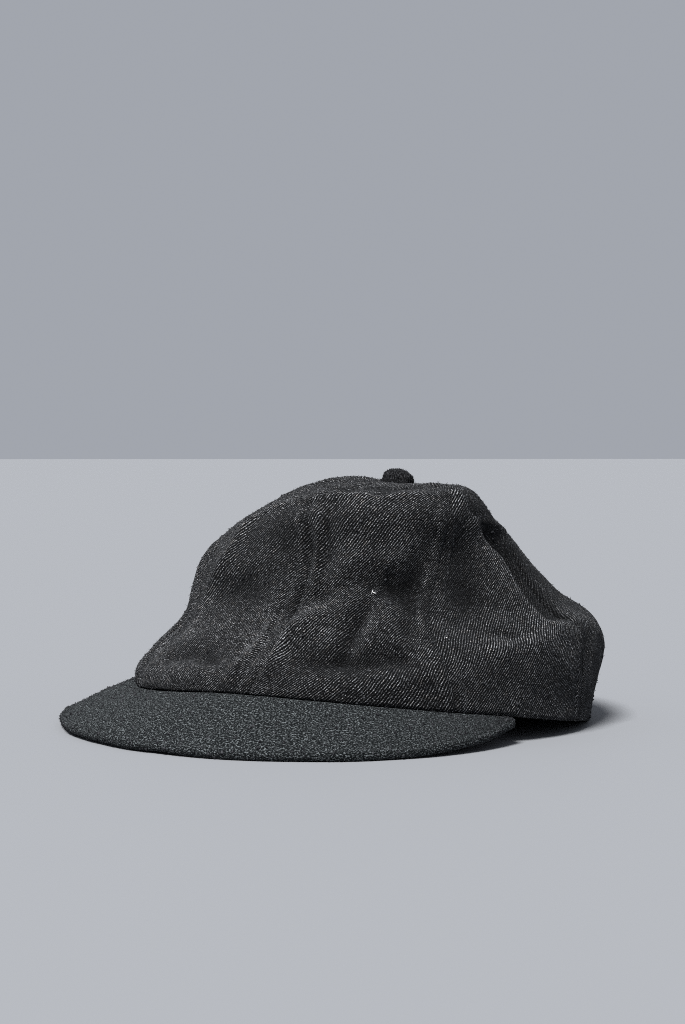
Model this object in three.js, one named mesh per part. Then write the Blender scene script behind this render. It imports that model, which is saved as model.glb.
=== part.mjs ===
import * as THREE from 'three';

// A soft peaked cap of eight cloth panels, in millimetres.
// The peak points towards -Y, the wearer's left is +X and up is +Z. The back hem and the peak rest on
// z = 0.

// Whole crown
const CROWN_Y = 12;
const APEX_X = 1;
const APEX_Y = 28;
const APEX_Z = 102;
const LEAN_POWER = 1.3;
const CLOTH = 1.8;
const GAP = 0.3;
const DEGREE = Math.PI / 180;

// The cloth round the button leans back: how steeply, and how far out it reaches.
const APEX_SLOPE = 0.16;
const APEX_REACH = 28;

// Outline of the crown at its eight seams, from the centre front round by the wearer's left, on seven rings
// between the hem and the rim of the flat top. Level is 0 at the hem and 1 where the seams meet. Radius is
// the distance from the crown's axis, height is above the ground, and turn is how many degrees a seam drifts.
const SEAMS = ['front', 'front_left', 'left', 'back_left', 'back', 'back_right', 'right', 'front_right'];
const LEVELS = { hem: 0, band: 0.06, roll: 0.13, waist: 0.31, shoulder: 0.49, edge: 0.65, rim: 0.69 };
const RADIUS = {
  hem: [98, 95, 91, 98, 99, 97, 91, 95],
  band: [99, 95, 91, 98, 101, 97, 91, 95],
  roll: [99, 93, 90, 100, 105, 101, 91, 94],
  waist: [80, 77, 77, 80, 79, 83, 79, 78],
  shoulder: [73, 70, 68, 60, 56, 60, 69, 71],
  edge: [57, 66, 66, 47, 42, 49, 63, 58],
  rim: [50, 60, 61, 43, 37, 44, 58, 50],
};
const HEIGHT = {
  hem: [17.5, 21, 14, 4.5, -3, 4.5, 14, 19],
  band: [20, 25, 21, 14, 10, 14, 21, 23],
  roll: [24, 31, 31, 32, 33, 32, 31, 29],
  waist: [47, 50, 51, 56, 59, 57, 52, 50],
  shoulder: [73, 74, 75, 79, 80, 80, 77, 76],
  edge: [88, 93.5, 94, 93, 91, 94, 95, 92],
  rim: [92, 97, 97.5, 97, 94, 97, 99.5, 96.5],
};
const TURN = {
  hem: [-2, -3, 4, 2, 0, 0, 0, 0],
  band: [-2, -2, 3, 2, 0, 0, 0, 0],
  roll: [-4, -1, 1, 1, 0, 0, 0, 0],
  waist: [-6, 1, -2, 0, 0, 0, 0, 0],
  shoulder: [-8, 3, 3, 2, 0, 0, 0, -3],
  edge: [-8, -2, 4, 4, 0, 0, 0, -4],
  rim: [-8, -3, 5, 4, 0, 0, 0, -4],
};

// Folds in the crown. Each runs from one place through a middle place to a last one, given as an angle round
// the crown and a level. Width and height are across the fold and out from the cloth; valleys are negative.
const FOLD_COLUMNS = ['angle1', 'level1', 'angle2', 'level2', 'angle3', 'level3', 'width', 'height'];
const FOLD_ROWS = {
  front_top_edge: [38, 0.7, 20, 0.66, 18, 0.58, 4, 2],
  front_brow: [17, 0.56, 16, 0.48, 10, 0.38, 5, 2.5],
  front_hollow: [15, 0.37, 24, 0.39, 32, 0.39, 8, -3.5],
  front_crease: [14, 0.2, 22, 0.21, 30, 0.17, 5, -3],
  front_pocket: [26, 0.2, 30, 0.17, 34, 0.14, 5, -2.5],
  front_lip: [8, 0.15, 25, 0.14, 38, 0.12, 5, 1.5],
  flat_top_edge_left: [40, 0.68, 66, 0.67, 92, 0.68, 4, 1.5],
  temple_seam_ridge: [52, 0.33, 46, 0.26, 46, 0.16, 4, 2],
  temple_seam_crease: [53, 0.65, 50, 0.56, 50, 0.46, 4, -2.5],
  temple_brow: [54, 0.42, 57, 0.47, 62, 0.52, 6, 3],
  temple_brow_back: [66, 0.48, 70, 0.48, 74, 0.52, 6, 3],
  temple_hollow: [70, 0.41, 76, 0.39, 82, 0.36, 7, -5],
  temple_hollow_back: [82, 0.46, 83, 0.4, 84, 0.35, 5, -4.5],
  temple_crest: [69, 0.37, 75, 0.35, 81, 0.32, 4, 2.5],
  temple_crease_front: [69, 0.35, 66, 0.26, 64, 0.18, 4, -4.5],
  temple_crease_back: [82, 0.33, 83, 0.28, 82, 0.21, 4, -3.5],
  temple_crease_low: [54, 0.16, 66, 0.16, 78, 0.16, 6, -4.5],
  temple_ridge: [62, 0.36, 55, 0.32, 48, 0.26, 6, 3],
  temple_dip: [48, 0.36, 52, 0.37, 57, 0.35, 5, -2.5],
  temple_bulge: [70, 0.28, 75, 0.3, 78, 0.31, 8, 2],
  temple_pocket: [79, 0.18, 81, 0.16, 84, 0.16, 5, -2.5],
  temple_lip: [66, 0.09, 76, 0.1, 86, 0.13, 5, 1],
  side_hollow: [102, 0.4, 102, 0.35, 100, 0.3, 9, -4],
  side_crease: [108, 0.22, 112, 0.2, 122, 0.21, 4, -4],
  side_roll: [106, 0.18, 116, 0.19, 129, 0.21, 5, 4],
  side_roll_back: [129, 0.21, 140, 0.21, 149, 0.17, 5, 2.5],
  side_fold_edge: [94, 0.68, 113, 0.49, 122, 0.26, 7, 4],
  side_fold_valley: [105, 0.64, 127, 0.43, 132, 0.26, 7.5, -7],
  back_dimple: [140, 0.16, 138, 0.14, 136, 0.12, 6, -2.5],
  back_hollow: [165, 0.4, 180, 0.38, 198, 0.4, 10, -2],
  back_fold: [205, 0.46, 218, 0.38, 230, 0.28, 9, -4],
  flat_top_edge_right: [232, 0.68, 270, 0.67, 312, 0.68, 4, 1.5],
  right_brow: [252, 0.48, 264, 0.46, 276, 0.5, 7, 2.5],
  right_hollow: [250, 0.4, 262, 0.36, 272, 0.31, 8, -4],
  right_crease: [284, 0.22, 300, 0.18, 318, 0.2, 6, -3],
  right_roll: [232, 0.19, 246, 0.18, 262, 0.17, 6, 2.5],
  right_ridge: [296, 0.34, 304, 0.29, 312, 0.22, 6, 2.5],
};
// A fold fades towards its two ends to this share of its height.
const FOLD_END_SHARE = 0.55;

// Panels: the cloth turns in at each seam, and stops short of the point where all the seams meet.
const PANEL_ANGLE = 360 / SEAMS.length;
const PANEL_TOP_LEVEL = 0.985;
const PANEL_ROWS = 22;
const PANEL_COLUMNS = 12;
const SEAM_STRIP = 0.04;
const SEAM_DIP = 0.6;
const PANEL_NAMES = [
  'panel_front_left', 'panel_temple_left', 'panel_side_left', 'panel_back_left',
  'panel_back_right', 'panel_side_right', 'panel_temple_right', 'panel_front_right',
];

// Peak: a curved plate that fans out from under the hem between its two corners.
const PEAK_CORNER = 106;
const PEAK_REACH = 32.5;
const PEAK_CORNER_REACH = 3.5;
const PEAK_REACH_POWER = 4;
const PEAK_FAN = 0.8;
const PEAK_TUCK = 3.5;
const PEAK_THICKNESS = 4.2;
const PEAK_CORNER_THICKNESS = 3;
const PEAK_EDGE_Z = 4.2;
const PEAK_FRONT_LIFT = 1;
const PEAK_FRONT_ANGLE = 50;
const PEAK_CORNER_ANGLE = 80;
const PEAK_CORNER_RISE = 0.15;
const PEAK_SHORT_REACH = 12;
const PEAK_DROOP = 0.25;
const PEAK_SECTIONS = 44;
const PEAK_TOP_STEPS = [0, 0.2, 0.4, 0.6, 0.8];
const PEAK_EDGE_STEPS = 5;

// Button: a cloth-covered dome that follows the crown beneath and leans back with it.
const BUTTON_SIDES = 20;
const BUTTON_TILT = 14;
const BUTTON_BASE_LEVELS = [0.976, 0.954];
const BUTTON_DOME_COLUMNS = ['radius', 'height'];
const BUTTON_DOME_ROWS = [[6.9, 1.6], [7, 2.9], [6.3, 4.4], [4.8, 5.7], [2.6, 6.5]];
const BUTTON_HEIGHT = 6.8;

// Cloth
const TWILL = { color: 0x2b2d31, roughness: 0.95, metalness: 0 };
const FELT = { color: 0x30353a, roughness: 0.93, metalness: 0 };
const BUTTON_CLOTH = { color: 0x1d1f22, roughness: 0.96, metalness: 0 };

const clamp = THREE.MathUtils.clamp;

function tableRow(columns, row) {
  return Object.fromEntries(columns.map((name, index) => [name, row[index]]));
}

// The value between seams of one ring's row, on a closed smooth curve.
function aroundSeams(row, angle) {
  const turn = (((angle % 360) + 360) % 360) / PANEL_ANGLE;
  const seam = Math.floor(turn);
  const t = turn - seam;
  const value = (step) => row[(seam + step + SEAMS.length) % SEAMS.length];
  const [before, from, to, after] = [-1, 0, 1, 2].map(value);
  const square = 2 * before - 5 * from + 4 * to - after;
  const cube = 3 * from - before - 3 * to + after;
  return 0.5 * (2 * from + (to - before) * t + square * t ** 2 + cube * t ** 3);
}

// The value at a level between rings, on a smooth curve that ends at the apex.
const KNOTS = [...Object.values(LEVELS), 1];

function betweenRings(table, apexValue, angle, level) {
  const values = [...Object.values(table).map((row) => aroundSeams(row, angle)), apexValue];
  const last = KNOTS.length - 1;
  const slopeAt = (k) => {
    if (k === 0 || k === last) {
      const end = Math.max(k, 1);
      return (values[end] - values[end - 1]) / (KNOTS[end] - KNOTS[end - 1]);
    }
    const below = KNOTS[k] - KNOTS[k - 1];
    const above = KNOTS[k + 1] - KNOTS[k];
    const slopeBelow = (values[k] - values[k - 1]) / below;
    const slopeAbove = (values[k + 1] - values[k]) / above;
    return (slopeBelow * above + slopeAbove * below) / (below + above);
  };
  let k = 0;
  while (k < last - 1 && level >= KNOTS[k + 1]) k += 1;
  const span = KNOTS[k + 1] - KNOTS[k];
  const t = (level - KNOTS[k]) / span;
  const square = t ** 2;
  const cube = t ** 3;
  return (2 * cube - 3 * square + 1) * values[k]
    + (cube - 2 * square + t) * span * slopeAt(k)
    + (3 * square - 2 * cube) * values[k + 1]
    + (cube - square) * span * slopeAt(k + 1);
}

function crownRadius(angle, level) {
  return betweenRings(RADIUS, 0, angle, level);
}

// The crown before its folds.
function smoothCrown(angle, level) {
  const radius = crownRadius(angle, level);
  const lean = clamp(level, 0, 1) ** LEAN_POWER;
  const direction = (angle + betweenRings(TURN, 0, angle, level)) * DEGREE;
  const x = APEX_X * lean + radius * Math.sin(direction);
  const y = THREE.MathUtils.lerp(CROWN_Y, APEX_Y, lean) - radius * Math.cos(direction);
  const slope = APEX_SLOPE * (y - APEX_Y) * Math.exp(-((radius / APEX_REACH) ** 2));
  return new THREE.Vector3(x, y, betweenRings(HEIGHT, APEX_Z, angle, level) - slope);
}

function crownNormal(angle, level) {
  const angleStep = 1;
  const levelStep = 0.01;
  const middle = clamp(level, levelStep, PANEL_TOP_LEVEL - levelStep);
  const along = smoothCrown(angle + angleStep, middle).sub(smoothCrown(angle - angleStep, middle));
  const up = smoothCrown(angle, middle + levelStep).sub(smoothCrown(angle, middle - levelStep));
  return along.cross(up).normalize();
}

const FOLDS = Object.values(FOLD_ROWS).map((row) => {
  const fold = tableRow(FOLD_COLUMNS, row);
  const points = [1, 2, 3].map((n) => smoothCrown(fold[`angle${n}`], fold[`level${n}`]));
  return { ...fold, points };
});

// How far a fold lifts the cloth at a place: full on its middle line, fading with the distance from it.
function foldLift(fold, place) {
  let nearest = Infinity;
  let along = 0;
  for (const part of [0, 1]) {
    const line = new THREE.Line3(fold.points[part], fold.points[part + 1]);
    const share = line.closestPointToPointParameter(place, true);
    const distance = line.at(share, new THREE.Vector3()).distanceTo(place);
    if (distance < nearest) {
      nearest = distance;
      along = (part + share) / 2;
    }
  }
  const fade = 1 - (1 - FOLD_END_SHARE) * (2 * along - 1) ** 2;
  return fold.height * fade * Math.exp(-((nearest / fold.width) ** 2));
}

// The crown's outer face, or with a depth the cloth's inner face. Cloth that meets the ground lies on it.
function crownPoint(angle, level, depth = 0) {
  const place = smoothCrown(angle, level);
  const lift = FOLDS.reduce((sum, fold) => sum + foldLift(fold, place), 0);
  const point = place.addScaledVector(crownNormal(angle, level), lift - depth);
  point.z = Math.max(point.z, 0);
  return point;
}

// A closed body under construction: its points, and its faces as triangles between numbered points.
class Body {
  constructor() {
    this.points = [];
    this.faces = [];
  }

  add(point) {
    this.points.push(point);
    return this.points.length - 1;
  }

  quad(a, b, c, d) {
    this.faces.push(a, b, c, a, c, d);
  }

  // Four points round a curved patch, split along the diagonal that passes nearer the patch's middle.
  patch(a, b, c, d, middle) {
    const miss = (from, to) => {
      return this.points[from].clone().lerp(this.points[to], 0.5).distanceTo(middle);
    };
    if (miss(a, c) <= miss(b, d)) {
      this.quad(a, b, c, d);
    } else {
      this.quad(b, c, d, a);
    }
  }

  triangle(a, b, c) {
    this.faces.push(a, b, c);
  }

  geometry() {
    const geometry = new THREE.BufferGeometry().setFromPoints(this.points);
    geometry.setIndex(this.faces);
    geometry.computeVertexNormals();
    return geometry;
  }
}

function panelGeometry(seam) {
  const body = new Body();
  const inset = SEAM_STRIP * PANEL_ANGLE;
  const levelAt = (row) => (PANEL_TOP_LEVEL * row) / PANEL_ROWS;
  const angleAt = (column, level) => {
    const halfGap = GAP / 2 / crownRadius(seam, level) / DEGREE;
    if (column === 0) return seam + halfGap;
    if (column === PANEL_COLUMNS) return seam + PANEL_ANGLE - halfGap;
    return seam + inset + ((PANEL_ANGLE - 2 * inset) * (column - 1)) / (PANEL_COLUMNS - 2);
  };
  const grid = (depth, dip) => {
    const rows = [];
    for (let row = 0; row <= PANEL_ROWS; row += 1) {
      const level = levelAt(row);
      const ids = [];
      for (let column = 0; column <= PANEL_COLUMNS; column += 1) {
        const onSeam = column === 0 || column === PANEL_COLUMNS;
        const point = crownPoint(angleAt(column, level), level, depth + (onSeam ? dip : 0));
        if (row === 0 && depth > 0) {
          point.z = body.points[column].z;
        }
        ids.push(body.add(point));
      }
      rows.push(ids);
    }
    return rows;
  };
  const outer = grid(0, SEAM_DIP);
  const inner = grid(CLOTH, 0);
  const end = PANEL_COLUMNS;
  for (let row = 0; row < PANEL_ROWS; row += 1) {
    const [outside, outsideAbove] = [outer[row], outer[row + 1]];
    const [inside, insideAbove] = [inner[row], inner[row + 1]];
    const level = (levelAt(row) + levelAt(row + 1)) / 2;
    for (let from = 0; from < end; from += 1) {
      const to = from + 1;
      const angle = (angleAt(from, level) + angleAt(to, level)) / 2;
      const outerMiddle = crownPoint(angle, level);
      const innerMiddle = crownPoint(angle, level, CLOTH);
      body.patch(outside[from], outside[to], outsideAbove[to], outsideAbove[from], outerMiddle);
      body.patch(inside[to], inside[from], insideAbove[from], insideAbove[to], innerMiddle);
    }
    body.quad(inside[0], outside[0], outsideAbove[0], insideAbove[0]);
    body.quad(outside[end], inside[end], insideAbove[end], outsideAbove[end]);
  }
  const top = PANEL_ROWS;
  for (let from = 0; from < end; from += 1) {
    const to = from + 1;
    body.quad(inner[0][from], inner[0][to], outer[0][to], outer[0][from]);
    body.quad(outer[top][from], outer[top][to], inner[top][to], inner[top][from]);
  }
  return body.geometry();
}

// One cross-section of the peak, a closed loop of points from the tucked end along the top, round the
// outer edge and back beneath.
function peakSection(angle) {
  const hem = crownPoint(angle, 0);
  const taper = (Math.abs(angle) / PEAK_CORNER) ** PEAK_REACH_POWER;
  const reach = THREE.MathUtils.lerp(PEAK_REACH, PEAK_CORNER_REACH, taper);
  const thickness = THREE.MathUtils.lerp(PEAK_THICKNESS, PEAK_CORNER_THICKNESS, taper);
  const frontLift = PEAK_FRONT_LIFT * Math.max(0, 1 - (angle / PEAK_FRONT_ANGLE) ** 2);
  const edgeZ = PEAK_EDGE_Z + frontLift + PEAK_CORNER_RISE * Math.max(0, Math.abs(angle) - PEAK_CORNER_ANGLE);
  const seamZ = hem.z - GAP;
  const drop = (seamZ - edgeZ) * clamp(reach / PEAK_SHORT_REACH, 0, 1);
  const radial = new THREE.Vector3(Math.sin(angle * DEGREE), -Math.cos(angle * DEGREE), 0);
  const fanned = angle * PEAK_FAN * DEGREE;
  const fan = new THREE.Vector3(Math.sin(fanned), -Math.cos(fanned), 0);
  const topZ = (share) => seamZ - drop * ((1 - PEAK_DROOP) * share + PEAK_DROOP * share ** 2);
  const place = (out, z) => hem.clone().addScaledVector(fan, out).setZ(z);
  const tucked = (z) => hem.clone().addScaledVector(radial, -PEAK_TUCK).setZ(z);

  const half = thickness / 2;
  const flat = Math.max(reach - half, 0);
  const top = PEAK_TOP_STEPS.map((step) => place(flat * step, topZ(step)));
  const under = PEAK_TOP_STEPS.map((step) => place(flat * step, topZ(step) - thickness));
  const edge = [];
  for (let step = 0; step <= PEAK_EDGE_STEPS; step += 1) {
    const turn = Math.PI * (0.5 - step / PEAK_EDGE_STEPS);
    edge.push(place(flat + half * Math.cos(turn), topZ(1) - half + half * Math.sin(turn)));
  }
  return [tucked(seamZ), ...top, ...edge, ...under.reverse(), tucked(seamZ - thickness)];
}

function peakGeometry() {
  const body = new Body();
  const sections = [];
  for (let index = 0; index <= PEAK_SECTIONS; index += 1) {
    const angle = PEAK_CORNER * ((2 * index) / PEAK_SECTIONS - 1);
    sections.push(peakSection(angle).map((point) => {
      point.z = Math.max(point.z, 0);
      return body.add(point);
    }));
  }
  const count = sections[0].length;
  for (let index = 0; index < PEAK_SECTIONS; index += 1) {
    const [here, there] = [sections[index], sections[index + 1]];
    for (let step = 0; step < count; step += 1) {
      const next = (step + 1) % count;
      body.quad(here[step], here[next], there[next], there[step]);
    }
  }
  const first = sections[0];
  const last = sections[PEAK_SECTIONS];
  for (let low = 0, high = count - 1; high - low > 1; low += 1, high -= 1) {
    body.quad(first[high], first[high - 1], first[low + 1], first[low]);
    body.quad(last[low], last[low + 1], last[high - 1], last[high]);
  }
  return body.geometry();
}

function buttonGeometry() {
  const body = new Body();
  const apex = new THREE.Vector3(APEX_X, APEX_Y, APEX_Z);
  const sideways = new THREE.Vector3(1, 0, 0);
  const lean = new THREE.Quaternion().setFromAxisAngle(sideways, -BUTTON_TILT * DEGREE);
  const ring = (pointAt) => {
    const ids = [];
    for (let side = 0; side < BUTTON_SIDES; side += 1) {
      ids.push(body.add(pointAt((360 * side) / BUTTON_SIDES)));
    }
    return ids;
  };
  const base = BUTTON_BASE_LEVELS.map((level) => ring((angle) => {
    return crownPoint(angle, level).sub(apex).add(new THREE.Vector3(0, 0, GAP));
  }));
  const dome = BUTTON_DOME_ROWS.map((row) => {
    const { radius, height } = tableRow(BUTTON_DOME_COLUMNS, row);
    return ring((angle) => {
      const flat = new THREE.Vector3(Math.sin(angle * DEGREE), -Math.cos(angle * DEGREE), 0);
      return flat.multiplyScalar(radius).setZ(height).applyQuaternion(lean);
    });
  });
  const rings = [...base, ...dome];
  const foot = body.add(new THREE.Vector3(0, 0, GAP));
  const crown = body.add(new THREE.Vector3(0, 0, BUTTON_HEIGHT).applyQuaternion(lean));
  for (let side = 0; side < BUTTON_SIDES; side += 1) {
    const next = (side + 1) % BUTTON_SIDES;
    body.triangle(foot, rings[0][next], rings[0][side]);
    for (let level = 0; level < rings.length - 1; level += 1) {
      body.quad(rings[level][side], rings[level][next], rings[level + 1][next], rings[level + 1][side]);
    }
    const last = rings.at(-1);
    body.triangle(crown, last[side], last[next]);
  }
  return body.geometry();
}

function piece(name, geometry, look) {
  const mesh = new THREE.Mesh(geometry, new THREE.MeshStandardMaterial(look));
  mesh.name = name;
  return mesh;
}

const cap = new THREE.Group();
cap.name = 'peaked_cap';

PANEL_NAMES.forEach((name, index) => {
  cap.add(piece(name, panelGeometry(index * PANEL_ANGLE), TWILL));
});

cap.add(piece('peak', peakGeometry(), FELT));

const button = piece('button', buttonGeometry(), BUTTON_CLOTH);
button.position.set(APEX_X, APEX_Y, APEX_Z);
cap.add(button);

export default cap;
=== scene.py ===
import math

import bpy
import numpy as np
from mathutils import Matrix, Vector


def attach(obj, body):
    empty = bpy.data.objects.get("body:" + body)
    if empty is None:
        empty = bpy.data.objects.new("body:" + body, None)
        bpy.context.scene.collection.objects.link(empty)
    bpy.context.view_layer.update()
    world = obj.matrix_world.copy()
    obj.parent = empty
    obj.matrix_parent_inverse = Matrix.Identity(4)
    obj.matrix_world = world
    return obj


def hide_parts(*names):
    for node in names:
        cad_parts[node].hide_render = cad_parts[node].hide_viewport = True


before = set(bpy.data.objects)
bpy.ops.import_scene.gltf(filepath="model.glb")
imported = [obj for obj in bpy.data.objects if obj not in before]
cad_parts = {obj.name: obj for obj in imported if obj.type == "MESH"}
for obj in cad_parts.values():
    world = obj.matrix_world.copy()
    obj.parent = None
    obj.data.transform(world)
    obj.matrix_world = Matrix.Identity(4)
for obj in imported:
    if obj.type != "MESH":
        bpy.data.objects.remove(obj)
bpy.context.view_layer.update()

# A soft peaked cap of eight cloth panels. Sizes here are in millimetres and go to Blender in metres.
# The peak points towards -Y, the wearer's left is +X and up is +Z. It rests on z = 0.
MM = 0.001
SEED = 11

# Crown: where the middle of its hem and its apex are, how its axis leans from one to the other, how thick
# its cloth is, the gap between pieces, and how the cloth slopes round the apex
CROWN_Y = 12
APEX = (1, 28, 102)
LEAN_POWER = 1.3
CLOTH = 1.8
GAP = 0.3
APEX_SLOPE = 0.16
APEX_REACH = 28

# Outline of the crown at its eight seams, from the centre front round by the wearer's left, on seven rings
# between the hem and the rim of the flat top. Level is 0 at the hem and 1 where the seams meet. Radius is
# the distance from the crown's axis, height is above the ground, and turn is how far a seam drifts, in
# degrees.
SEAMS = ("front", "front_left", "left", "back_left", "back", "back_right", "right", "front_right")
LEVELS = {"hem": 0, "band": 0.06, "roll": 0.13, "waist": 0.31, "shoulder": 0.49, "edge": 0.65, "rim": 0.69}
RADIUS = {
    "hem": (98, 95, 91, 98, 99, 97, 91, 95),
    "band": (99, 95, 91, 98, 101, 97, 91, 95),
    "roll": (99, 93, 90, 100, 105, 101, 91, 94),
    "waist": (80, 77, 77, 80, 79, 83, 79, 78),
    "shoulder": (73, 70, 68, 60, 56, 60, 69, 71),
    "edge": (57, 66, 66, 47, 42, 49, 63, 58),
    "rim": (50, 60, 61, 43, 37, 44, 58, 50),
}
HEIGHT = {
    "hem": (17.5, 21, 14, 4.5, -3, 4.5, 14, 19),
    "band": (20, 25, 21, 14, 10, 14, 21, 23),
    "roll": (24, 31, 31, 32, 33, 32, 31, 29),
    "waist": (47, 50, 51, 56, 59, 57, 52, 50),
    "shoulder": (73, 74, 75, 79, 80, 80, 77, 76),
    "edge": (88, 93.5, 94, 93, 91, 94, 95, 92),
    "rim": (92, 97, 97.5, 97, 94, 97, 99.5, 96.5),
}
TURN = {
    "hem": (-2, -3, 4, 2, 0, 0, 0, 0),
    "band": (-2, -2, 3, 2, 0, 0, 0, 0),
    "roll": (-4, -1, 1, 1, 0, 0, 0, 0),
    "waist": (-6, 1, -2, 0, 0, 0, 0, 0),
    "shoulder": (-8, 3, 3, 2, 0, 0, 0, -3),
    "edge": (-8, -2, 4, 4, 0, 0, 0, -4),
    "rim": (-8, -3, 5, 4, 0, 0, 0, -4),
}

# Folds in the crown. Each runs from one place through a middle place to a last one, given as an angle round
# the crown and a level. Width and height are across the fold and out from the cloth; valleys are negative.
FOLD_COLUMNS = ("angle1", "level1", "angle2", "level2", "angle3", "level3", "width", "height")
FOLD_ROWS = {
    "front_top_edge": (38, 0.7, 20, 0.66, 18, 0.58, 4, 2),
    "front_brow": (17, 0.56, 16, 0.48, 10, 0.38, 5, 2.5),
    "front_hollow": (15, 0.37, 24, 0.39, 32, 0.39, 8, -3.5),
    "front_crease": (14, 0.2, 22, 0.21, 30, 0.17, 5, -3),
    "front_pocket": (26, 0.2, 30, 0.17, 34, 0.14, 5, -2.5),
    "front_lip": (8, 0.15, 25, 0.14, 38, 0.12, 5, 1.5),
    "flat_top_edge_left": (40, 0.68, 66, 0.67, 92, 0.68, 4, 1.5),
    "temple_seam_ridge": (52, 0.33, 46, 0.26, 46, 0.16, 4, 2),
    "temple_seam_crease": (53, 0.65, 50, 0.56, 50, 0.46, 4, -2.5),
    "temple_brow": (54, 0.42, 57, 0.47, 62, 0.52, 6, 3),
    "temple_brow_back": (66, 0.48, 70, 0.48, 74, 0.52, 6, 3),
    "temple_hollow": (70, 0.41, 76, 0.39, 82, 0.36, 7, -5),
    "temple_hollow_back": (82, 0.46, 83, 0.4, 84, 0.35, 5, -4.5),
    "temple_crest": (69, 0.37, 75, 0.35, 81, 0.32, 4, 2.5),
    "temple_crease_front": (69, 0.35, 66, 0.26, 64, 0.18, 4, -4.5),
    "temple_crease_back": (82, 0.33, 83, 0.28, 82, 0.21, 4, -3.5),
    "temple_crease_low": (54, 0.16, 66, 0.16, 78, 0.16, 6, -4.5),
    "temple_ridge": (62, 0.36, 55, 0.32, 48, 0.26, 6, 3),
    "temple_dip": (48, 0.36, 52, 0.37, 57, 0.35, 5, -2.5),
    "temple_bulge": (70, 0.28, 75, 0.3, 78, 0.31, 8, 2),
    "temple_pocket": (79, 0.18, 81, 0.16, 84, 0.16, 5, -2.5),
    "temple_lip": (66, 0.09, 76, 0.1, 86, 0.13, 5, 1),
    "side_hollow": (102, 0.4, 102, 0.35, 100, 0.3, 9, -4),
    "side_crease": (108, 0.22, 112, 0.2, 122, 0.21, 4, -4),
    "side_roll": (106, 0.18, 116, 0.19, 129, 0.21, 5, 4),
    "side_roll_back": (129, 0.21, 140, 0.21, 149, 0.17, 5, 2.5),
    "side_fold_edge": (94, 0.68, 113, 0.49, 122, 0.26, 7, 4),
    "side_fold_valley": (105, 0.64, 127, 0.43, 132, 0.26, 7.5, -7),
    "back_dimple": (140, 0.16, 138, 0.14, 136, 0.12, 6, -2.5),
    "back_hollow": (165, 0.4, 180, 0.38, 198, 0.4, 10, -2),
    "back_fold": (205, 0.46, 218, 0.38, 230, 0.28, 9, -4),
    "flat_top_edge_right": (232, 0.68, 270, 0.67, 312, 0.68, 4, 1.5),
    "right_brow": (252, 0.48, 264, 0.46, 276, 0.5, 7, 2.5),
    "right_hollow": (250, 0.4, 262, 0.36, 272, 0.31, 8, -4),
    "right_crease": (284, 0.22, 300, 0.18, 318, 0.2, 6, -3),
    "right_roll": (232, 0.19, 246, 0.18, 262, 0.17, 6, 2.5),
    "right_ridge": (296, 0.34, 304, 0.29, 312, 0.22, 6, 2.5),
}
# Creases too fine for the CAD facets, in the same columns
FINE_FOLD_ROWS = {
    "side_fold_crest": (94, 0.67, 114, 0.48, 124, 0.26, 3, 2),
    "side_fold_depth": (101, 0.62, 119, 0.46, 127, 0.27, 5, -3),
    "side_flat": (96, 0.6, 98, 0.5, 98, 0.42, 8, -1.2),
    "flat_top_crest": (45, 0.68, 68, 0.68, 95, 0.68, 2.2, 1.4),
    "flat_top_hollow": (28, 0.76, 58, 0.76, 96, 0.75, 4, -1.6),
    "front_top_crest": (19, 0.6, 27, 0.655, 45, 0.68, 2.2, 1.4),
    "front_seam_ridge": (0, 0.52, -6, 0.37, 0, 0.22, 3, 1.5),
    "left_seam_ridge": (40, 0.3, 40, 0.21, 38, 0.1, 2.5, 1.5),
    "left_seam_crease": (46, 0.6, 44, 0.51, 44, 0.43, 2.5, -1.5),
    "left_seam_light": (48, 0.57, 47, 0.47, 50, 0.36, 2, 1.5),
    "side_tuck": (102, 0.59, 118, 0.58, 138, 0.53, 3, 2),
    "side_tuck_crease": (100, 0.66, 104, 0.64, 108, 0.61, 3, -1.5),
    "top_crease": (44, 0.72, 53, 0.74, 56, 0.82, 3, -2),
    "button_crease": (70, 0.76, 68, 0.72, 66, 0.68, 3.5, -2.5),
}
FOLD_END_SHARE = 0.55
# Painted light and shade, as strokes like the folds: painted highlights where height is above 0 and painted
# shade where it is below 0. The shade lies on slopes turned away from the light and on the flat top; the
# highlights lie on rims, on the foot of the side and along seam ridges
PAINTED_LIGHT_ROWS = {
    "back_slope": (118, 0.62, 129, 0.44, 134, 0.28, 10, -6),
    "back_slope_far": (128, 0.6, 141, 0.4, 152, 0.27, 10, -4),
    "side_slope": (90, 0.55, 97, 0.47, 103, 0.4, 10, -3),
    "side_foot": (95, 0.16, 110, 0.18, 124, 0.2, 9, 2.2),
    "front_slope": (25, 0.58, 35, 0.55, 42, 0.5, 12, -3.5),
    "flat_top": (28, 0.76, 58, 0.76, 98, 0.75, 3.5, -3),
    "flat_top_rim": (45, 0.68, 68, 0.68, 95, 0.68, 1.6, 5),
    "front_rim": (19, 0.6, 27, 0.655, 45, 0.68, 1.6, 5),
    "front_corner": (19, 0.6, 21, 0.55, 20, 0.5, 1.6, 4),
    "side_fold_rim": (92, 0.69, 111, 0.5, 117, 0.32, 1.6, 4),
    "front_seam_streak": (-1, 0.42, 0, 0.34, 1, 0.27, 1.8, 6),
    "front_seam_shade": (7, 0.44, 6, 0.35, 5, 0.25, 2.5, -3),
    "front_panel_streak": (14, 0.42, 12, 0.35, 9, 0.24, 1.8, 5),
    "left_seam_streak": (39, 0.31, 38, 0.22, 38, 0.14, 1.6, 4.5),
    "left_seam_second_streak": (47, 0.29, 46, 0.21, 45, 0.14, 1.6, 3.5),
}
# A painted highlight along the raised edge of each seam's allowance: how bright, how wide, how far inside
# the stitches, and how much of it is even or follows the pucker of the seam
SEAM_HIGHLIGHT = 5
SEAM_HIGHLIGHT_WIDTH = 0.9
SEAM_HIGHLIGHT_INSET = 1
SEAM_HIGHLIGHT_EVEN = 0.6
SEAM_HIGHLIGHT_UNEVEN = 0.4

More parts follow.
